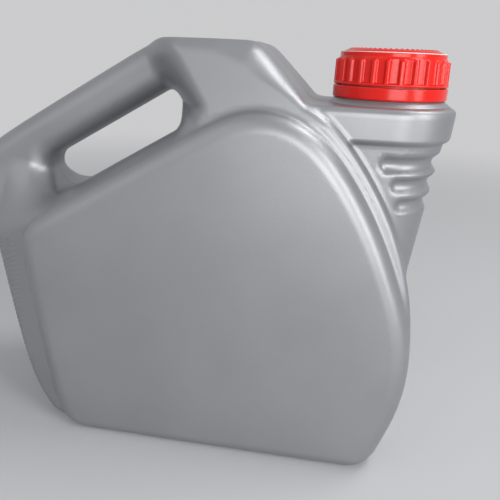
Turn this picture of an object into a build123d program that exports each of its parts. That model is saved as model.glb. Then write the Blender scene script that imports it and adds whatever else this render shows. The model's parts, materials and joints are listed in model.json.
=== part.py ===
from build123d import *
import math
import os

# A 4 litre blow-moulded oil jug with a hollow handle and a screw closure. All sizes are millimetres.
# +X points to the spout, +Y across the jug, +Z up. The origin is the middle of the jug's outline on the
# surface that it stands on.

# Overall sizes
nose_x = 143.5  # tip of the spout's head
rear_x = -144.0  # back of the handle's lower end
base_front_x = 118.0
base_rear_x = -76.0
front_x = 134.0  # the front wall at its fullest
back_x = -120.0  # the back wall below the handle
crown_z = 235.0  # flat top of the handle and shoulder
deck_z = 205.0  # flat deck round the neck

# Thicknesses across Y, each a half
panel_half = 57.5  # the raised side panels
shoulder_half = 47.0  # the upper body between panels and handle
grip_half = 16.0  # the handle

# Moulded shell
wall = 1.2
outline_corner = 6.0  # corners of the outlines seen from the side
panel_round = 12.0
shoulder_round = 11.0
grip_round = 11.0
deck_round = 3.0

# Handle and its finger gap
handle_rise = 30.0  # degrees
crown_rear_x = -22.0  # where the crown turns down into the handle
handle_rear_x = rear_x + 6.0
gap_length = 96.0
gap_width = 24.0
gap_x = -49.0  # middle of the finger gap
gap_drop = 59.0  # from the crown down to the middle of the finger gap
gap_round = 9.5

# Spout head: a square-sided band under the deck, and below it a wedge whose nose leans forward
deck_margin = 3.0  # deck left between the neck's ledge and the nose
spout_root_x = 55.0
band_half = 42.0
band_height = 17.5
band_round = 32.0
band_lean = 1.5
wedge_half = 39.5
wedge_round = 29.0
wedge_step = 3.5  # how far the wedge's nose is set back under the band
wedge_foot_half = 36.0
wedge_foot_x = 127.0
wedge_foot_z = 96.0
grooves = 3
groove_depth = 3.2
groove_width = 6.0
groove_pitch = 11.0
groove_first_drop = 10.5  # from the band's lower edge to the first groove's middle
groove_first_length = 29.5  # back from the wedge's upper nose
groove_step = 6.0  # how much further forward each lower groove ends

# Neck
neck_radius = 26.4
neck_wall = 1.8
ledge_inset = 1.0  # from the tamper ring's outside in to the ledge's edge
ledge_flare = 3.0  # how much wider the ledge is at the deck
ledge_height = 3.0
ledge_edge = 0.8  # upright edge above the ledge's taper
neck_height = 25.6  # deck to rim
bead_reach = 1.8  # out from the neck, to hold the ring down
bead_height = 2.4
bead_lead = 0.6  # under-side of the bead
bore_reach = 6.0  # how far the neck's bore runs on below the deck and above the rim

# Closure
thread_room = 2.3  # between the neck and the inside of the cap
ring_wall = 1.7
ring_height = 6.4
ring_gap = 0.5  # the broken bridges' gap
cap_wall = 2.3
cap_taper = 0.8  # how much smaller the cap's top is, in radius
cap_top = 1.9
cap_round = 5.0
flutes = 26
flute_depth = 0.9
flute_width = 4.6
collar_height = 2.0
flute_height = 11.4
liner_thickness = 1.1
liner_gap = 0.5  # clearance between the liner's edge and the cap

# Sizes and places that follow from the ones above
cap_bore = neck_radius + thread_room
cap_outer = cap_bore + cap_wall
ledge_radius = cap_outer - ledge_inset
ledge_root_radius = ledge_radius + ledge_flare
neck_x = nose_x - deck_margin - ledge_root_radius
gap_z = crown_z - gap_drop
rim_z = deck_z + neck_height
band_z = deck_z - band_height
wedge_top_x = nose_x - band_lean - wedge_step
groove_first_back = wedge_top_x - groove_first_length
ledge_z = deck_z + ledge_height
cap_bottom_z = ledge_z + ring_height + ring_gap
liner_top_z = rim_z + liner_thickness
cap_top_z = liner_top_z + cap_top


def jug_outline():
    """The jug's outline in its middle plane, handle included, from the base's front, counter-clockwise."""
    slope = math.tan(math.radians(handle_rise))
    handle_rear_z = crown_z - slope * (crown_rear_x - handle_rear_x)
    return [
        (base_front_x, 0),
        (front_x - 2, 45),
        (front_x - 3, 98),
        (neck_x - 29, deck_z),
        (neck_x - 41, deck_z + 1),
        (neck_x - 71, crown_z),
        (crown_rear_x, crown_z),
        (handle_rear_x, handle_rear_z),
        (rear_x, handle_rear_z - 20),
        (back_x - 3, gap_z - 60),
        (back_x + 18, 28),
        (base_rear_x, 0),
    ]


def shoulder_outline():
    """The outline of the upper body, in front of the finger gap and just level with its lower edge."""
    slope = math.tan(math.radians(handle_rise))
    under_gap = gap_z + 1 - gap_width / 2 / math.cos(math.radians(handle_rise))
    return [
        (base_front_x - 1, 0),
        (front_x - 3, 45),
        (front_x - 4, 98),
        (neck_x - 13, deck_z - 28),
        (neck_x - 32, deck_z - 1),
        (neck_x - 42, deck_z),
        (neck_x - 71, crown_z - 1),
        (gap_x + 35, crown_z - 1),
        (gap_x + 56, crown_z - 35),
        (gap_x + 52, under_gap + 52 * slope),
        (gap_x - 25, under_gap - 25 * slope),
        (back_x, gap_z - 58),
        (back_x + 18, 28),
        (base_rear_x + 1, 0),
    ]


def panel_outline():
    """The outline of the raised side panels."""
    return [
        (base_front_x - 3, 0),
        (front_x - 2, 45),
        (front_x - 2, 92),
        (neck_x - 8, deck_z - 43),
        (neck_x - 31, deck_z - 13),
        (neck_x - 56, deck_z - 3),
        (neck_x - 81, deck_z - 7),
        (neck_x - 97, deck_z - 16),
        (back_x + 37, gap_z - 41),
        (back_x + 28, gap_z - 52),
        (back_x + 40, 32),
        (back_x + 54, 0),
    ]


def slab(outline, corner, half, edge_round, inset):
    """A plate symmetric about the middle plane, with rounded corners and edges, moved in by an inset."""
    with BuildPart(mode=Mode.PRIVATE) as plate:
        with BuildSketch(Plane.XZ):
            with BuildLine():
                Polyline(*outline, close=True)
            make_face()
            fillet(vertices(), corner)
            if inset > 0:
                offset(amount=-inset, mode=Mode.REPLACE)
        extrude(amount=half - inset, both=True)
        sides = plate.faces().filter_by(Axis.Y)
        fillet(sides.edges(), edge_round - inset)
    return plate.part


def finger_gap(inset):
    """The slanted opening under the handle, widened by the wall for the inside of the shell."""
    with BuildPart(mode=Mode.PRIVATE) as gap:
        along = Vector(1, 0, 0).rotate(Axis.Y, -handle_rise)
        with BuildSketch(Plane(origin=(gap_x, 0, gap_z), x_dir=along, z_dir=(0, -1, 0))):
            RectangleRounded(gap_length + 2 * inset, gap_width + 2 * inset, gap_round + inset)
        extrude(amount=2 * panel_half, both=True)
    return gap.part


def spout_section(height, tip, half, corner, inset):
    """A level section of the spout: square at its root, with two round corners at its nose."""
    with BuildSketch(Plane.XY.offset(height)) as section:
        with BuildLine():
            Polyline(
                (spout_root_x, -half + inset),
                (tip - inset, -half + inset),
                (tip - inset, half - inset),
                (spout_root_x, half - inset),
                close=True,
            )
        make_face()
        fillet(section.vertices().group_by(Axis.X)[-1], corner - inset)
    return section.sketch


def wedge_section(height, inset):
    """A level section of the wedge under the band, which widens and leans forward on its way up."""
    share = (height - wedge_foot_z) / (band_z - wedge_foot_z)
    tip = wedge_foot_x + share * (wedge_top_x - wedge_foot_x)
    half = wedge_foot_half + share * (wedge_half - wedge_foot_half)
    return spout_section(height, tip, half, wedge_round, inset)


def spout(inset):
    """The spout head: a band under the deck on a leaning wedge, with grooves round the wedge's nose."""
    with BuildPart(mode=Mode.PRIVATE) as head:
        add(wedge_section(wedge_foot_z, inset))
        add(wedge_section(band_z + wall, inset))
        loft(ruled=True)
        for number in range(grooves):
            tall = groove_width + 2 * inset
            under = band_z - groove_first_drop - number * groove_pitch - tall / 2
            with BuildSketch(Plane.XY.offset(under)):
                with Locations((groove_first_back + number * groove_step - inset, 0)):
                    Rectangle(2 * groove_first_length, 2 * panel_half, align=(Align.MIN, Align.CENTER))
                add(wedge_section(under, groove_depth + inset), mode=Mode.SUBTRACT)
            extrude(amount=tall, mode=Mode.SUBTRACT)
    with BuildPart(mode=Mode.PRIVATE) as band:
        add(spout_section(band_z + inset, nose_x - band_lean, band_half - band_lean / 3, band_round, inset))
        add(spout_section(deck_z - inset, nose_x, band_half, band_round, inset))
        loft(ruled=True)
        rim = band.faces().sort_by(Axis.Z)[-1]
        fillet(rim.edges().sort_by(Axis.X)[1:], deck_round - inset)
    return head.part + band.part


def jug(inset):
    """The whole jug below the neck: solid at inset 0, and its inside at an inset of one wall."""
    with BuildPart(mode=Mode.PRIVATE) as whole:
        add(slab(jug_outline(), outline_corner, grip_half, grip_round, inset))
        add(slab(shoulder_outline(), outline_corner, shoulder_half, shoulder_round, inset))
        add(slab(panel_outline(), outline_corner, panel_half, panel_round, inset))
        add(spout(inset))
        add(finger_gap(inset), mode=Mode.SUBTRACT)
    return whole.part


with BuildPart() as bottle:
    add(jug(0))
    # Neck: a tapered ledge that carries the ring, the tube and the bead that held the ring down.
    with BuildSketch(Plane.XZ):
        with BuildLine():
            Polyline(
                (neck_x, deck_z - wall),
                (neck_x + ledge_root_radius, deck_z - wall),
                (neck_x + ledge_root_radius, deck_z),
                (neck_x + ledge_radius, ledge_z - ledge_edge),
                (neck_x + ledge_radius, ledge_z),
                (neck_x + neck_radius, ledge_z),
                (neck_x + neck_radius, ledge_z + ring_height - bead_height),
                (neck_x + neck_radius + bead_reach, ledge_z + ring_height - bead_height + bead_lead),
                (neck_x + neck_radius, ledge_z + ring_height),
                (neck_x + neck_radius, rim_z),
                (neck_x, rim_z),
                close=True,
            )
        make_face()
    revolve(axis=Axis((neck_x, 0, 0), (0, 0, 1)))
    add(jug(wall), mode=Mode.SUBTRACT)
    with BuildSketch(Plane.XY.offset(deck_z - bore_reach)):
        with Locations((neck_x, 0)):
            Circle(neck_radius - neck_wall)
    extrude(amount=neck_height + 2 * bore_reach, mode=Mode.SUBTRACT)

with BuildPart() as tamper_ring:
    with BuildSketch(Plane.XY.offset(ledge_z)):
        with Locations((neck_x, 0)):
            Circle(cap_outer)
            Circle(cap_outer - ring_wall, mode=Mode.SUBTRACT)
    extrude(amount=ring_height)

with BuildPart() as seal_liner:
    with BuildSketch(Plane.XY.offset(rim_z)):
        with Locations((neck_x, 0)):
            Circle(cap_bore - liner_gap)
    extrude(amount=liner_thickness)

with BuildPart() as screw_cap:
    with BuildSketch(Plane.XZ):
        with BuildLine():
            Polyline(
                (neck_x, cap_bottom_z),
                (neck_x + cap_outer, cap_bottom_z),
                (neck_x + cap_outer, cap_bottom_z + collar_height),
                (neck_x + cap_outer - cap_taper, cap_top_z),
                (neck_x, cap_top_z),
                close=True,
            )
        make_face()
    revolve(axis=Axis((neck_x, 0, 0), (0, 0, 1)))
    fillet(screw_cap.faces().sort_by(Axis.Z)[-1].edges(), cap_round)
    # Grip flutes
    with BuildSketch(Plane.XY.offset(cap_bottom_z + collar_height)):
        with Locations((neck_x, 0)):
            with PolarLocations(cap_outer, flutes):
                Ellipse(flute_depth, flute_width / 2)
    extrude(amount=flute_height, mode=Mode.SUBTRACT)
    with BuildSketch(Plane.XY.offset(cap_bottom_z)):
        with Locations((neck_x, 0)):
            Circle(cap_bore)
    extrude(amount=liner_top_z - cap_bottom_z, mode=Mode.SUBTRACT)

os.makedirs("parts", exist_ok=True)
pieces = (
    ("bottle", bottle),
    ("tamper_ring", tamper_ring),
    ("seal_liner", seal_liner),
    ("screw_cap", screw_cap),
)
for name, piece in pieces:
    piece.part.label = name
    export_step(piece.part, f"parts/{name}.step")
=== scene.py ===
import bmesh
import bpy
import json
import math
import numpy as np
from mathutils import Matrix, Vector

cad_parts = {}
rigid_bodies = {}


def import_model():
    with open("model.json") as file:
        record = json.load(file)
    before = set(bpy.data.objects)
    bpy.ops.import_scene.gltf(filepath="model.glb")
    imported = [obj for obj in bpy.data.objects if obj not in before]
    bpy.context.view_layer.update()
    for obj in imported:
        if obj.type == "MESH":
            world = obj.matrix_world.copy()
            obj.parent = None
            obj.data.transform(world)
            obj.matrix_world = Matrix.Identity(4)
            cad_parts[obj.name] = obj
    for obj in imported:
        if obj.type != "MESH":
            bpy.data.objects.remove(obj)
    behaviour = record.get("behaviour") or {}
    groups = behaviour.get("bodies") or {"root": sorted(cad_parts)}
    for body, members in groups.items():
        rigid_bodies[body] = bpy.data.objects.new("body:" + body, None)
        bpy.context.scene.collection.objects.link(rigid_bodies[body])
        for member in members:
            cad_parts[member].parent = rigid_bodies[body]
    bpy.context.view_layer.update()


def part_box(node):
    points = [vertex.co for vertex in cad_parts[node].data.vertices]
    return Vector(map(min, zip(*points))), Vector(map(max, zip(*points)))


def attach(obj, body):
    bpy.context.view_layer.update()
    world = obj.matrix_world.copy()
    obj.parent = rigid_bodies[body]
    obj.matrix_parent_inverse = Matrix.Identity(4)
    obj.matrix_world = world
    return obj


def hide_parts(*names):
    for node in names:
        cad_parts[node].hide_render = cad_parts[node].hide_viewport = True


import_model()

MM = 0.001

# Sizes in millimetres, in the frame's own axes. Places come from the frame's boxes.
jug_low, jug_high = (np.array(c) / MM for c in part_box("bottle"))
ring_low, ring_high = (np.array(c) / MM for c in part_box("tamper_ring"))
cap_low, cap_high = (np.array(c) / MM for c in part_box("screw_cap"))
liner_low, liner_high = (np.array(c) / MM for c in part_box("seal_liner"))

NECK_X = (cap_low[0] + cap_high[0]) / 2
NOSE_X = jug_high[0]
CROWN_Z = jug_high[2]
LEDGE_Z = ring_low[2]
RIM_Z = liner_low[2]
DECK_Z = LEDGE_Z - 3.0
CAP_R = (cap_high[0] - cap_low[0]) / 2
NECK_R = 26.4
BORE_R = 24.6
THREAD_PITCH = 5.5
THREAD_DEPTH = 1.25
BAND_Z = DECK_Z - 17.5
WEDGE_FOOT_Z = 96.0
WEDGE_FOOT_X = 127.0
WEDGE_TOP_X = NOSE_X - 5.0
BODY_HALF = 47.5
PANEL_HALF = 56.2
HANDLE_HALF = 16.8
HANDLE_EDGE = 12.6
LEDGE_FOOT_R = 33.6
WALL = 1.3
RIB_PITCH = 3.1
GRID = 2.0
CAVITY_GRID = 5.0


# ---------------------------------------------------------------- distance functions

def curve(points, steps=5):
    """A closed B-spline pulled along by its points, with a tighter turn at a repeated point."""
    points = np.array(points, float)
    t = (np.arange(steps) / steps)[:, None]
    before, after, further = np.roll(points, 1, 0), np.roll(points, -1, 0), np.roll(points, -2, 0)
    weights = ((1 - t) ** 3, 3 * t ** 3 - 6 * t ** 2 + 4, -3 * t ** 3 + 3 * t ** 2 + 3 * t + 1, t ** 3)
    spans = [(weights[0] * a + weights[1] * b + weights[2] * c + weights[3] * d) / 6
             for a, b, c, d in zip(before, points, after, further)]
    return [tuple(point) for point in np.concatenate(spans)]


def polygon(x, z, points):
    """Signed distance in the XZ plane to a closed polygon, negative inside."""
    shape = np.broadcast_shapes(x.shape, z.shape)
    best = np.full(shape, 1e9)
    inside = np.zeros(shape, bool)
    for (ax, az), (bx, bz) in zip(points, points[1:] + points[:1]):
        ex, ez = bx - ax, bz - az
        if abs(ex) + abs(ez) < 1e-6:
            continue
        t = np.clip(((x - ax) * ex + (z - az) * ez) / (ex * ex + ez * ez), 0, 1)
        best = np.minimum(best, (x - ax - t * ex) ** 2 + (z - az - t * ez) ** 2)
        crosses = (az > z) != (bz > z)
        if ez != 0:
            inside ^= crosses & (x < ax + (z - az) * ex / ez)
    return np.where(inside, -1, 1) * np.sqrt(best)


def rounded(a, b, radius):
    """Intersection of two distances with a round edge."""
    a, b = a + radius, b + radius
    return np.minimum(np.maximum(a, b), 0) + np.hypot(np.maximum(a, 0), np.maximum(b, 0)) - radius


def blend(a, b, k):
    """Smooth union."""
    h = np.maximum(k - np.abs(a - b), 0) / k
    return np.minimum(a, b) - h * h * k / 4


def step_up(value, start, end):
    """A smooth step from 0 at start to 1 at end."""
    share = np.clip((value - start) / (end - start), 0, 1)
    return share * share * (3 - 2 * share)


def carve(a, b, k):
    """Smooth subtraction of b from a."""
    return -blend(-a, b, k)


JUG_OUTLINE = curve([
    (112, -14), (117, -2), (125, 22), (131, 46), (131.8, 72), (130.5, 98), (124, 123), (116.3, 143),
    (107.2, 160.5), (96, 177.5), (84.5, 191.5), (74.5, 200.5), (65.5, 205), (65.5, 205), (57, 215),
    (46, 226.5), (38, 234.5), (30, CROWN_Z + 0.3), (10, CROWN_Z + 0.3), (-10, CROWN_Z + 0.3),
    (-23, CROWN_Z - 0.2), (-38, 226.8), (-80, 202.3), (-122, 177.8), (-137.5, 167), (-143.6, 158),
    (-142, 147), (-133, 130), (-125, 116), (-121, 102), (-114, 70), (-106, 38), (-98, 16), (-84, 0),
    (-74, -14),
])
# The upper body lies in front of this line and below it, and the handle past it.
SHOULDER = [
    (-30, 262), (-13, 234), (8, 200.5), (5, 195.5), (-1, 192), (-70, 151.6), (-100, 134),
    (-124, 120), (-160, 100), (-160, -60), (220, -60), (220, 262),
]
PANEL_OUTLINE = curve([
    (106, -14), (116, 2), (125, 24), (131, 46), (132.7, 70), (128.7, 94), (121, 115), (112.3, 136),
    (101.5, 156.5), (89.5, 174.5), (77, 189), (62, 198.5), (45, 202.5), (27, 200), (6, 189),
    (-20, 173.5), (-50, 156), (-74, 142), (-88, 133.5), (-94.5, 124), (-94.5, 110), (-83.5, 34),
    (-79, 12), (-70, -4), (-60, -14),
])
GAP_RISE = math.radians(30.0)
GAP_X = -49.0
GAP_Z = 176.0
GAP_HALF_LENGTH = 48.5
GAP_HALF_WIDTH = 12.0


def in_gap(x, z):
    """Signed distance in the XZ plane to the slanted finger gap."""
    along = (x - GAP_X) * math.cos(GAP_RISE) + (z - GAP_Z) * math.sin(GAP_RISE)
    across = -(x - GAP_X) * math.sin(GAP_RISE) + (z - GAP_Z) * math.cos(GAP_RISE)
    # The corner at the front and bottom is tighter than the other three.
    corner = np.where((along > 0) & (across < 0), 5.0, 9.5)
    return rounded(np.abs(along) - GAP_HALF_LENGTH, np.abs(across) - GAP_HALF_WIDTH, corner)


def core(x, y, z):
    """The upper body and the hollow handle: one slab, thin at the handle and thick at the body."""
    bar = np.maximum(polygon(x, z, JUG_OUTLINE), -in_gap(x, z))
    # The handle widens gently into the body, most of all at its rear root.
    reach = 12 + 22 * step_up(-x, 84, 118) + 7 * step_up(x, -60, -20)
    body = step_up(-polygon(x, z, SHOULDER), -reach, 8)
    behind = np.clip((-72 - x) / 48, 0, 1)
    body_half = BODY_HALF - 9.0 * np.clip((z - 196) / 38, 0, 1) - 13 * behind ** 2
    half = HANDLE_HALF + (body_half - HANDLE_HALF) * body
    # The edge beside the spout is tight, and it opens out on the slope up to the crown.
    near_spout = step_up(x, 30, 50) * (1 - step_up(z, 203, 226))
    on_slope = step_up(x, 14, 34) * step_up(z, 200, 222)
    body_edge = 8.0 + 5.5 * on_slope - 4.2 * near_spout
    edge = HANDLE_EDGE + (body_edge - HANDLE_EDGE) * body
    return rounded(bar, np.abs(y) - half, edge)


def panels(x, y, z):
    """The raised side panels."""
    d = polygon(x, z, PANEL_OUTLINE)
    crown = 1.2 * np.clip(1 - ((x - 20) / 150) ** 2 - ((z - 95) / 130) ** 2, 0, 1)
    edge = 12.0 - 2.0 * step_up(x, 5, 70)
    return rounded(d, np.abs(y) - (PANEL_HALF + crown), edge)


def plan(x, y, tip, half, corner):
    """A level section of the spout: straight sides and two round corners at the nose."""
    ahead, beside = x - (tip - corner), np.abs(y) - (half - corner)
    outside = np.hypot(np.maximum(ahead, 0), np.maximum(beside, 0))
    return np.minimum(np.maximum(ahead, beside), 0) + outside - corner


def spout(x, y, z):
    """The spout's head: a band under the deck on a leaning wedge with three short grooves."""
    rise = np.clip((z - WEDGE_FOOT_Z) / (BAND_Z - WEDGE_FOOT_Z), -0.3, 1.2)
    tip = WEDGE_FOOT_X + rise * (WEDGE_TOP_X - WEDGE_FOOT_X)
    side = plan(x, y, tip, 36.0 + 3.5 * rise, 29.0)
    wedge = np.maximum(side, z - (BAND_Z + 8))
    for number in range(3):
        level = BAND_Z - 10.5 - 10.8 * number
        back = WEDGE_TOP_X - 29.5 + 8.2 * number - 1.7 * number ** 2
        reach = 4.3 - 0.35 * number
        groove = np.sqrt((side - 0.9) ** 2 + (z - level) ** 2 + np.maximum(back - x, 0) ** 2) - reach
        wedge = carve(wedge, groove, 1.8)
    lean = 1.5 * (DECK_Z - z) / (DECK_Z - BAND_Z)
    band = plan(x, y, NOSE_X - 0.2 - lean, 42.0, 32.0)
    band = rounded(band, z - DECK_Z, 3.6)
    band = rounded(band, BAND_Z - z, 2.4)
    d = blend(wedge, band, 2.0)
    return np.maximum(d, 40 - x)


def back_grip_ribs(x, y, z):
    """Fine slanted ribs on the back wall below the handle."""
    on_back = np.clip((-80 - x) / 6, 0, 1) * np.clip((122 - z) / 5, 0, 1) * np.clip((z - 26) / 5, 0, 1)
    on_back = on_back * np.clip((43 - np.abs(y)) / 3, 0, 1)
    wave = np.sin(2 * math.pi * (z - 1.1 * np.abs(y)) / RIB_PITCH)
    return 0.34 * wave * on_back


def jug(x, y, z):
    """The jug's outside without its neck."""
    d = blend(core(x, y, z), panels(x, y, z), 3.0)
    d = blend(d, spout(x, y, z), 3.2)
    # A slight dish in the base leaves a standing rim, and the edges of the base are round.
    dish = 1.6 * np.clip(1 - ((x - 20) / 92) ** 4 - (y / 46) ** 4, 0, 1)
    d = rounded(d, dish - z, 8.0)
    # The mould's parting line is a faint ridge in the middle plane.
    d = d - 0.3 * np.exp(-((y / 2.0) ** 2))
    return d - back_grip_ribs(x, y, z)


def cavity(x, y, z):
    """The jug's inside."""
    return jug(x, y, z) + WALL


# ---------------------------------------------------------------- meshing

def surface(field, low, high, step):
    """A quad mesh of a distance field's zero level, one vertex for each grid cell that it crosses."""
    axes = [np.arange(low[i], high[i] + step, step) for i in range(3)]
    grid = np.meshgrid(*axes, indexing="ij", sparse=True)
    value = field(*grid).astype(np.float32)
    shape = np.array(value.shape)
    inside = value < 0
    cells = tuple(shape - 1)
    total = np.zeros(cells + (3,), np.float32)
    count = np.zeros(cells, np.int32)
    crossings = []
    for axis in range(3):
        a = [slice(None)] * 3
        b = [slice(None)] * 3
        a[axis], b[axis] = slice(0, -1), slice(1, None)
        va, vb = value[tuple(a)], value[tuple(b)]
        hit = np.argwhere((va < 0) != (vb < 0))
        ka, kb = va[tuple(hit.T)], vb[tuple(hit.T)]
        place = hit.astype(np.float32)
        place[:, axis] += ka / (ka - kb)
        others = [i for i in range(3) if i != axis]
        crossings.append((axis, hit, inside[tuple(hit.T)]))
        for du in (0, 1):
            for dv in (0, 1):
                cell = hit.copy()
                cell[:, others[0]] -= du
                cell[:, others[1]] -= dv
                ok = np.all((cell >= 0) & (cell < np.array(cells)), axis=1)
                np.add.at(total, tuple(cell[ok].T), place[ok])
                np.add.at(count, tuple(cell[ok].T), 1)
    used = np.argwhere(count > 0)
    index = np.full(cells, -1, np.int64)
    index[tuple(used.T)] = np.arange(len(used))
    points = total[tuple(used.T)] / count[tuple(used.T)][:, None]
    points = points * step + np.array([axes[i][0] for i in range(3)])
    quads = []
    for axis, hit, solid in crossings:
        u, v = [(1, 2), (2, 0), (0, 1)][axis]
        corners = []
        for du, dv in ((0, 0), (1, 0), (1, 1), (0, 1)):
            cell = hit.copy()
            cell[:, u] -= du
            cell[:, v] -= dv
            corners.append(index[tuple(np.clip(cell, 0, np.array(cells) - 1).T)])
        quad = np.stack(corners, 1)
        quad[~solid] = quad[~solid][:, ::-1]
        quads.append(quad)
    quads = np.concatenate(quads)
    quads = quads[np.all(quads >= 0, axis=1)]
    points = settle(field, points)
    return points, quads


def gradient(field, p, h=0.25):
    """The slope of a field at points, by differences h to each side."""
    parts = []
    for i in range(3):
        a, b = p.copy(), p.copy()
        a[:, i] += h
        b[:, i] -= h
        parts.append((field(*a.T) - field(*b.T)) / (2 * h))
    return np.stack(parts, 1)


def settle(field, p):
    """Moves points onto the field's zero level."""
    for _ in range(2):
        g = gradient(field, p)
        size = np.maximum((g ** 2).sum(1), 0.2)
        move = -(field(*p.T) / size)[:, None] * g
        p = p + np.clip(move, -1.0, 1.0)
    return p


def make_object(name, points, faces):
    mesh = bpy.data.meshes.new(name)
    mesh.from_pydata((np.asarray(points) * MM).tolist(), [], [list(map(int, f)) for f in faces])
    mesh.validate()
    mesh.polygons.foreach_set("use_smooth", [True] * len(mesh.polygons))
    mesh.update()
    obj = bpy.data.objects.new(name, mesh)
    bpy.context.scene.collection.objects.link(obj)
    return obj


def lathe(radii, heights, turns, ripple=None, closed=False):
    """A revolved sheet about the neck's axis: ripple(angle, r, h) moves each radius and height."""
    rows = len(radii)
    angle = np.linspace(0, 2 * math.pi, turns, endpoint=False)
    r = np.repeat(np.asarray(radii, float)[:, None], turns, 1)
    h = np.repeat(np.asarray(heights, float)[:, None], turns, 1)
    if ripple is not None:
        r, h = ripple(np.broadcast_to(angle, r.shape), r, h)
    points = np.stack([NECK_X + r * np.cos(angle), r * np.sin(angle), h], 2).reshape(-1, 3)
    i, j = np.meshgrid(np.arange(rows if closed else rows - 1), np.arange(turns), indexing="ij")
    a = i * turns + j
    b = i * turns + (j + 1) % turns
    ni = (i + 1) % rows
    c = ni * turns + (j + 1) % turns
    d = ni * turns + j
    return points, np.stack([a, b, c, d], 2).reshape(-1, 4)


def resample(path, step):
    """Points at even steps along a path of straight runs."""
    out = []
    for (r0, z0), (r1, z1) in zip(path, path[1:]):
        n = max(1, int(round(math.hypot(r1 - r0, z1 - z0) / step)))
        for k in range(n):
            out.append((r0 + (r1 - r0) * k / n, z0 + (z1 - z0) * k / n))
    out.append(path[-1])
    return np.array(out)


def thread_ridge(angle, height, low, high, sign):
    """Height of a right-hand thread's ridge at a place on the neck or in the cap."""
    phase = (height - low - THREAD_PITCH * angle / (2 * math.pi)) % THREAD_PITCH
    off = np.abs(phase - THREAD_PITCH / 2 + sign * THREAD_PITCH / 4)
    ridge = np.clip((1.25 - off) / 0.55, 0, 1)
    ends = np.clip((height - low) / 1.5, 0, 1) * np.clip((high - height) / 1.5, 0, 1)
    return ridge * ends * THREAD_DEPTH


# ---------------------------------------------------------------- materials

def material(name, color, rough, metallic, spread, bump_scale, bump, specular=0.5):
    """Plastic with faint clouds of colour, uneven gloss and a fine grain."""
    mat = bpy.data.materials.new(name)
    mat.use_nodes = True
    nodes, links = mat.node_tree.nodes, mat.node_tree.links
    shader = nodes["Principled BSDF"]
    shader.inputs["Metallic"].default_value = metallic
    shader.inputs["Specular IOR Level"].default_value = specular
    where = nodes.new("ShaderNodeTexCoord")
    cloud = nodes.new("ShaderNodeTexNoise")
    cloud.inputs["Scale"].default_value = 14.0
    cloud.inputs["Detail"].default_value = 4.0
    links.new(where.outputs["Object"], cloud.inputs["Vector"])
    ramp = nodes.new("ShaderNodeValToRGB")
    ramp.color_ramp.elements[0].position = 0.3
    ramp.color_ramp.elements[1].position = 0.7
    ramp.color_ramp.elements[0].color = tuple(c * (1 - spread) for c in color) + (1,)
    ramp.color_ramp.elements[1].color = tuple(min(1, c * (1 + spread)) for c in color) + (1,)
    links.new(cloud.outputs["Fac"], ramp.inputs["Fac"])
    links.new(ramp.outputs["Color"], shader.inputs["Base Color"])
    patch = nodes.new("ShaderNodeTexNoise")
    patch.inputs["Scale"].default_value = 45.0
    patch.inputs["Detail"].default_value = 6.0
    links.new(where.outputs["Object"], patch.inputs["Vector"])
    gloss = nodes.new("ShaderNodeMapRange")
    gloss.inputs["To Min"].default_value = rough - 0.05
    gloss.inputs["To Max"].default_value = rough + 0.06
    links.new(patch.outputs["Fac"], gloss.inputs["Value"])
    links.new(gloss.outputs["Result"], shader.inputs["Roughness"])
    grain = nodes.new("ShaderNodeTexNoise")
    grain.inputs["Scale"].default_value = bump_scale
    grain.inputs["Detail"].default_value = 3.0
    links.new(where.outputs["Object"], grain.inputs["Vector"])
    relief = nodes.new("ShaderNodeBump")
    relief.inputs["Strength"].default_value = bump
    relief.inputs["Distance"].default_value = 0.0004
    links.new(grain.outputs["Fac"], relief.inputs["Height"])
    links.new(relief.outputs["Normal"], shader.inputs["Normal"])
    return mat


silver = material("silver_plastic", (0.32, 0.325, 0.34), 0.42, 0.72, 0.05, 900.0, 0.10)
red = material("red_plastic", (0.74, 0.008, 0.002), 0.2, 0.0, 0.06, 420.0, 0.05, specular=0.42)
foam = material("liner_foam", (0.84, 0.84, 0.81), 0.75, 0.0, 0.02, 1500.0, 0.5)


# ---------------------------------------------------------------- jug

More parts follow.
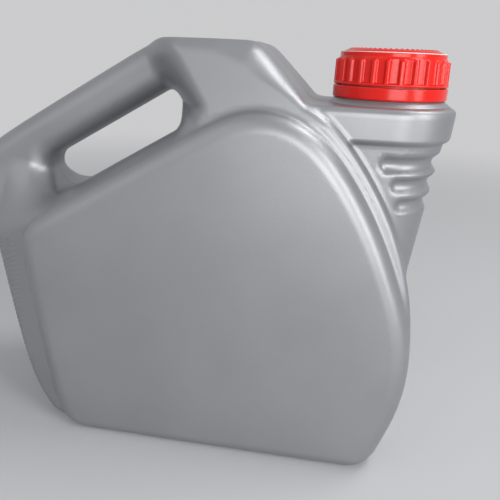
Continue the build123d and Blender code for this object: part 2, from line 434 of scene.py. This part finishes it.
def build_jug():
    low = jug_low - np.array([3.0, 3.0, 3.0])
    high = np.array([NOSE_X, jug_high[1], CROWN_Z]) + 3.0
    points, faces = surface(jug, low, high, GRID)
    # The neck's tube takes the place of the deck inside it.
    def under_neck(p, f, radius):
        away = np.hypot(p[:, 0] - NECK_X, p[:, 1])
        hidden = (away < radius) & (p[:, 2] > DECK_Z - 4)
        return f[~np.any(hidden[f], axis=1)]
    faces = under_neck(points, faces, NECK_R - 0.5)
    points = np.clip(points, [jug_low[0], jug_low[1], 0], [NOSE_X, jug_high[1], CROWN_Z])
    inner, inner_faces = surface(cavity, low, high, CAVITY_GRID)
    inner_faces = under_neck(inner, inner_faces, BORE_R - 0.2)[:, ::-1]
    neck_low, neck_high = LEDGE_Z + 8, RIM_Z - 1.5

    def threads(angle, r, h):
        outside = r > NECK_R - 0.2
        threaded = outside & (h > neck_low - 1) & (r < NECK_R + 0.2)
        return r + np.where(threaded, thread_ridge(angle, h, neck_low, neck_high, 0), 0), h

    path = [(LEDGE_FOOT_R, DECK_Z - 1.0), (33.0, DECK_Z + 0.2), (30.2, LEDGE_Z - 0.7),
            (30.0, LEDGE_Z - 0.1), (NECK_R, LEDGE_Z), (NECK_R, LEDGE_Z + 3.2), (28.0, LEDGE_Z + 4.0),
            (NECK_R, LEDGE_Z + 5.6),
            (NECK_R, RIM_Z - 0.6), (NECK_R - 0.5, RIM_Z), (BORE_R + 0.5, RIM_Z), (BORE_R, RIM_Z - 0.6),
            (BORE_R, DECK_Z), (BORE_R + 0.8, DECK_Z - 2.2)]
    shape = resample(path, 0.6)
    tube, tube_faces = lathe(shape[:, 0], shape[:, 1], 150, threads)
    n, m = len(points), len(inner)
    everything = np.concatenate([points, inner, tube])
    all_faces = np.concatenate([faces, inner_faces + n, tube_faces + n + m])
    obj = make_object("jug_shell", everything, all_faces)
    drop_loose(obj)
    refine_grip(obj)
    take_normals(obj)
    return obj


def drop_loose(obj):
    """Removes vertices that no face uses."""
    work = bmesh.new()
    work.from_mesh(obj.data)
    bmesh.ops.delete(work, geom=[v for v in work.verts if not v.link_faces], context="VERTS")
    work.to_mesh(obj.data)
    work.free()


def grip_vertices(work):
    """The vertices of the jug's outer skin on the back wall, where the grip ribs are."""
    near = [v for v in work.verts if v.co.x < -0.079 and 0.024 < v.co.z < 0.124 and abs(v.co.y) < 0.045]
    on_skin = np.abs(jug(*(np.array([v.co for v in near]) / MM).T)) < 0.6
    return [v for v, keep in zip(near, on_skin) if keep]


def refine_grip(obj):
    """Splits the faces under the grip ribs and settles their corners, so that the ribs come out crisp."""
    work = bmesh.new()
    work.from_mesh(obj.data)
    chosen = set(grip_vertices(work))
    edges = [e for e in work.edges if e.verts[0] in chosen and e.verts[1] in chosen]
    bmesh.ops.subdivide_edges(work, edges=edges, cuts=1, use_grid_fill=True)
    finer = grip_vertices(work)
    for v, place in zip(finer, settle(jug, np.array([v.co for v in finer]) / MM)):
        v.co = place * MM
    for face in work.faces:
        face.smooth = True
    work.to_mesh(obj.data)
    work.free()


def take_normals(obj):
    """Shades the jug by its distance field, and the neck by its own faces."""
    corners = np.array([v.co for v in obj.data.vertices]) / MM
    normals = np.array([v.normal for v in obj.data.vertices])
    value = jug(*corners.T)
    from_axis = np.hypot(corners[:, 0] - NECK_X, corners[:, 1])
    on_neck = (from_axis < LEDGE_FOOT_R + 0.2) & (corners[:, 2] > DECK_Z - 2.5)
    slope = gradient(jug, corners)
    slope /= np.maximum(np.linalg.norm(slope, axis=1), 0.01)[:, None]
    outside = ~on_neck & (value > -WALL / 2)
    inside = ~on_neck & (value <= -WALL / 2)
    normals[outside] = slope[outside]
    normals[inside] = -slope[inside]
    obj.data.normals_split_custom_set_from_vertices(normals.tolist())


shell = build_jug()
shell.data.materials.append(silver)
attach(shell, "bottle")
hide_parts("bottle")


# ---------------------------------------------------------------- closure

FLUTES = 26
TEETH = 52


def build_cap():
    bottom, top = cap_low[2], cap_high[2]
    collar_top, ridge_top, dome_top = bottom + 1.3, bottom + 13.3, top - 0.35
    wall_r, inner_r = CAP_R - 2.1, CAP_R - 2.7
    dome_r, dome_height = 6.6, dome_top - ridge_top + 0.8
    dome_start, dome_foot = wall_r - 0.2 - dome_r, dome_top - dome_height
    outside = [(CAP_R - 0.5, bottom), (CAP_R - 0.05, bottom + 0.4), (CAP_R - 0.05, collar_top),
               (wall_r, collar_top + 0.3)]
    outside += [(dome_start + dome_r * math.cos(t), dome_foot + dome_height * math.sin(t))
                for t in np.radians(np.linspace(0, 90, 14))]
    outside += [(12.0, dome_top), (0.6, dome_top - 0.05)]
    inside = [(0.6, liner_high[2]), (inner_r - 0.3, liner_high[2]), (inner_r, liner_high[2] - 0.5),
              (inner_r, bottom + 0.5), (inner_r + 0.5, bottom)]
    path = resample(outside, 0.4)
    rows = np.concatenate([path, resample(inside, 0.4)])
    is_outer = (np.arange(len(rows)) < len(path))[:, None]

    def shape(angle, r, h):
        # Ridges stand proud of the wall, with round tops that end against the dome.
        wave = np.cos(FLUTES * angle)
        across = step_up(wave, 0.1, 0.78)
        fade = 1 - step_up(h, ridge_top - 0.9 - 0.7 * (1 - across), ridge_top + 0.5)
        proud = np.maximum(CAP_R - 0.25 - 0.35 * (h - bottom) / (top - bottom) - r, 0)
        ridge = np.where(is_outer & (h > collar_top) & (r > wall_r - 2.5), proud * across * fade, 0)
        # A row of small teeth rings the top.
        tooth = step_up(np.cos(TEETH * angle), -0.1, 0.7) * np.exp(-((r - (CAP_R - 8.2)) / 1.1) ** 2)
        lift = np.where(is_outer & (h > ridge_top + 1), 0.35 * tooth, 0)
        thread = thread_ridge(angle, h, bottom + 2.0, liner_high[2] - 2.5, 1)
        inward = np.where(~is_outer & (r > inner_r - 0.05), thread, 0)
        return r + ridge - inward, np.minimum(h + lift, top)

    points, faces = lathe(rows[:, 0], rows[:, 1], FLUTES * 16, shape, closed=True)
    return make_object("cap_shell", points, faces)


def build_ring():
    low, high = ring_low[2], ring_high[2]
    r = CAP_R
    path = [(r - 1.5, low), (r - 0.5, low), (r - 0.1, low + 0.5), (r - 0.02, high - 0.5), (r - 0.4, high),
            (r - 1.3, high), (r - 1.7, high - 0.5), (r - 1.7, low + 0.5)]
    shape = resample(path + path[:1], 0.35)[:-1]
    points, faces = lathe(shape[:, 0], shape[:, 1], 240, None, closed=True)
    return make_object("ring_band", points, faces)


cap = build_cap()
cap.data.materials.append(red)
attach(cap, "cap")
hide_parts("screw_cap")

ring = build_ring()
ring.data.materials.append(red)
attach(ring, "bottle")
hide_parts("tamper_ring")

for obj in bpy.data.objects:
    if obj.name.startswith("seal_liner") and obj.type == "MESH":
        obj.data.materials.clear()
        obj.data.materials.append(foam)


# ---------------------------------------------------------------- stage, light and camera

BACKDROP = (0.60, 0.60, 0.61, 1)


def seen_directly(nodes, links):
    """1 where the camera looks, straight on or through a gloss, and 0 where light is gathered."""
    path = nodes.new("ShaderNodeLightPath")
    total = path.outputs["Is Camera Ray"]
    for kind in ("Is Glossy Ray", "Is Transmission Ray"):
        either = nodes.new("ShaderNodeMath")
        either.operation = "MAXIMUM"
        links.new(total, either.inputs[0])
        links.new(path.outputs[kind], either.inputs[1])
        total = either.outputs["Value"]
    return total


def floor_material():
    """Pale matt paint, which turns into the backdrop with distance so that no horizon shows."""
    mat = bpy.data.materials.new("floor_paint")
    mat.use_nodes = True
    nodes, links = mat.node_tree.nodes, mat.node_tree.links
    paint = nodes["Principled BSDF"]
    paint.inputs["Base Color"].default_value = (0.62, 0.62, 0.63, 1)
    paint.inputs["Roughness"].default_value = 0.8
    where = nodes.new("ShaderNodeTexCoord")
    away = nodes.new("ShaderNodeVectorMath")
    away.operation = "LENGTH"
    links.new(where.outputs["Object"], away.inputs[0])
    far = nodes.new("ShaderNodeMapRange")
    far.interpolation_type = "SMOOTHSTEP"
    far.inputs["From Min"].default_value = 0.3
    far.inputs["From Max"].default_value = 1.5
    links.new(away.outputs["Value"], far.inputs["Value"])
    both = nodes.new("ShaderNodeMath")
    both.operation = "MULTIPLY"
    links.new(far.outputs["Result"], both.inputs[0])
    links.new(seen_directly(nodes, links), both.inputs[1])
    glow = nodes.new("ShaderNodeEmission")
    glow.inputs["Color"].default_value = BACKDROP
    mix = nodes.new("ShaderNodeMixShader")
    links.new(both.outputs["Value"], mix.inputs["Fac"])
    links.new(paint.outputs["BSDF"], mix.inputs[1])
    links.new(glow.outputs["Emission"], mix.inputs[2])
    links.new(mix.outputs["Shader"], nodes["Material Output"].inputs["Surface"])
    return mat


def build_floor():
    size = 6.0
    mesh = bpy.data.meshes.new("floor")
    corners = [(-size, -size, 0), (size, -size, 0), (size, size, 0), (-size, size, 0)]
    mesh.from_pydata(corners, [], [(0, 1, 2, 3)])
    floor = bpy.data.objects.new("floor", mesh)
    bpy.context.scene.collection.objects.link(floor)
    mesh.materials.append(floor_material())


def area_light(name, place, aim, size, power):
    data = bpy.data.lights.new(name, "AREA")
    data.shape = "RECTANGLE"
    data.size, data.size_y = size
    data.energy = power
    obj = bpy.data.objects.new(name, data)
    obj.location = place
    obj.rotation_euler = (Vector(aim) - Vector(place)).to_track_quat("-Z", "Y").to_euler()
    bpy.context.scene.collection.objects.link(obj)


def build_world():
    """Soft even light, and a pale backdrop where the camera or a gloss looks past the floor."""
    world = bpy.data.worlds.new("soft")
    bpy.context.scene.world = world
    world.use_nodes = True
    nodes, links = world.node_tree.nodes, world.node_tree.links
    soft = nodes["Background"]
    soft.inputs["Color"].default_value = (0.80, 0.82, 0.85, 1)
    soft.inputs["Strength"].default_value = 0.42
    backdrop = nodes.new("ShaderNodeBackground")
    backdrop.inputs["Color"].default_value = BACKDROP
    mix = nodes.new("ShaderNodeMixShader")
    links.new(seen_directly(nodes, links), mix.inputs["Fac"])
    links.new(soft.outputs["Background"], mix.inputs[1])
    links.new(backdrop.outputs["Background"], mix.inputs[2])
    links.new(mix.outputs["Shader"], nodes["World Output"].inputs["Surface"])


def build_camera():
    """The camera stands a little right of the jug and above its crown, looking down to the left."""
    place = Vector((NECK_X - 19.2, -331.3, LEDGE_Z + 18.6)) * MM
    yaw, pitch, roll = math.radians(9.5), math.radians(19.0), math.radians(2.3)
    forward = Vector((-math.sin(yaw) * math.cos(pitch), math.cos(yaw) * math.cos(pitch), -math.sin(pitch)))
    right = Vector((math.cos(yaw), math.sin(yaw), 0))
    up = right.cross(forward)
    right, up = math.cos(roll) * right + math.sin(roll) * up, -math.sin(roll) * right + math.cos(roll) * up
    data = bpy.data.cameras.new("camera")
    data.sensor_width = 36.0
    data.lens = 36.0 * 560 / 500
    data.clip_start = 0.01
    camera = bpy.data.objects.new("camera", data)
    turn = Matrix((right, up, -forward)).transposed().to_4x4()
    camera.matrix_world = Matrix.Translation(place) @ turn
    bpy.context.scene.collection.objects.link(camera)
    bpy.context.scene.camera = camera


build_floor()
build_world()
area_light("key", (1.15, -0.72, 0.62), (0.06, 0, 0.15), (0.45, 1.2), 9)
area_light("front", (0.46, -1.42, 0.36), (0.10, 0, 0.18), (0.9, 0.8), 11)
area_light("window", (0.60, 0.15, 1.10), (0.05, 0, 0.15), (0.4, 0.4), 4)
area_light("fill", (-0.9, -0.9, 1.0), (0, 0, 0.1), (1.2, 1.2), 2)
build_camera()
bpy.context.scene.view_settings.view_transform = "Standard"
